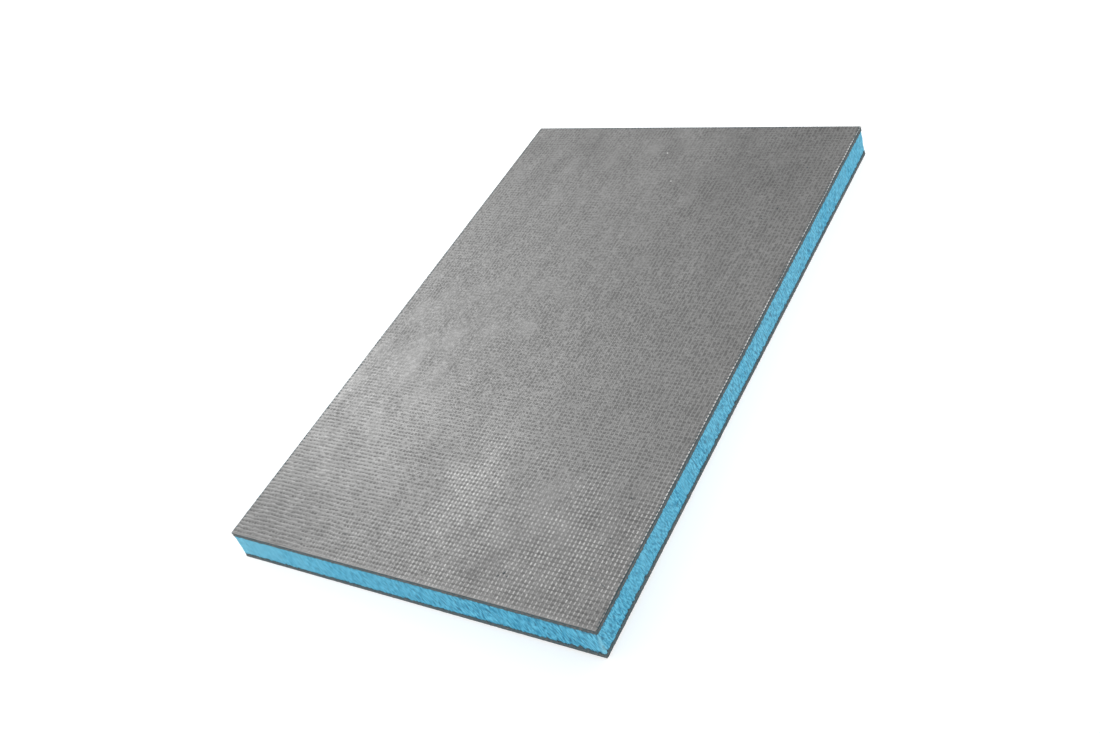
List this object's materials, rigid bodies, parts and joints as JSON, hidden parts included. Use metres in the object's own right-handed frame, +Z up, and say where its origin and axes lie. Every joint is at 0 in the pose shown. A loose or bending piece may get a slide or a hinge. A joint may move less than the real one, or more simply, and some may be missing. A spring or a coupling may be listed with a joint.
{
  "type": "foam tile backer board",
  "caption": "Flat rectangular tile backer board: rigid blue foam core between thin grey mesh-reinforced cement facings.",
  "frame": {"origin": "centre of the lower face, on the floor the board lies on", "axes": "+Z up through the board's thickness, +Y along its length, +X along its width"},
  "size_m": [0.33, 0.56, 0.03],
  "materials": {
    "foam": "sawn closed-cell foam, matte",
    "cement_facing": "smooth polymer cement over a glass-fibre mesh, soft sheen"
  },
  "bodies": {
    "root": {"foam_core": "foam", "top_facing": "cement_facing", "bottom_facing": "cement_facing"}
  },
  "joints": []
}
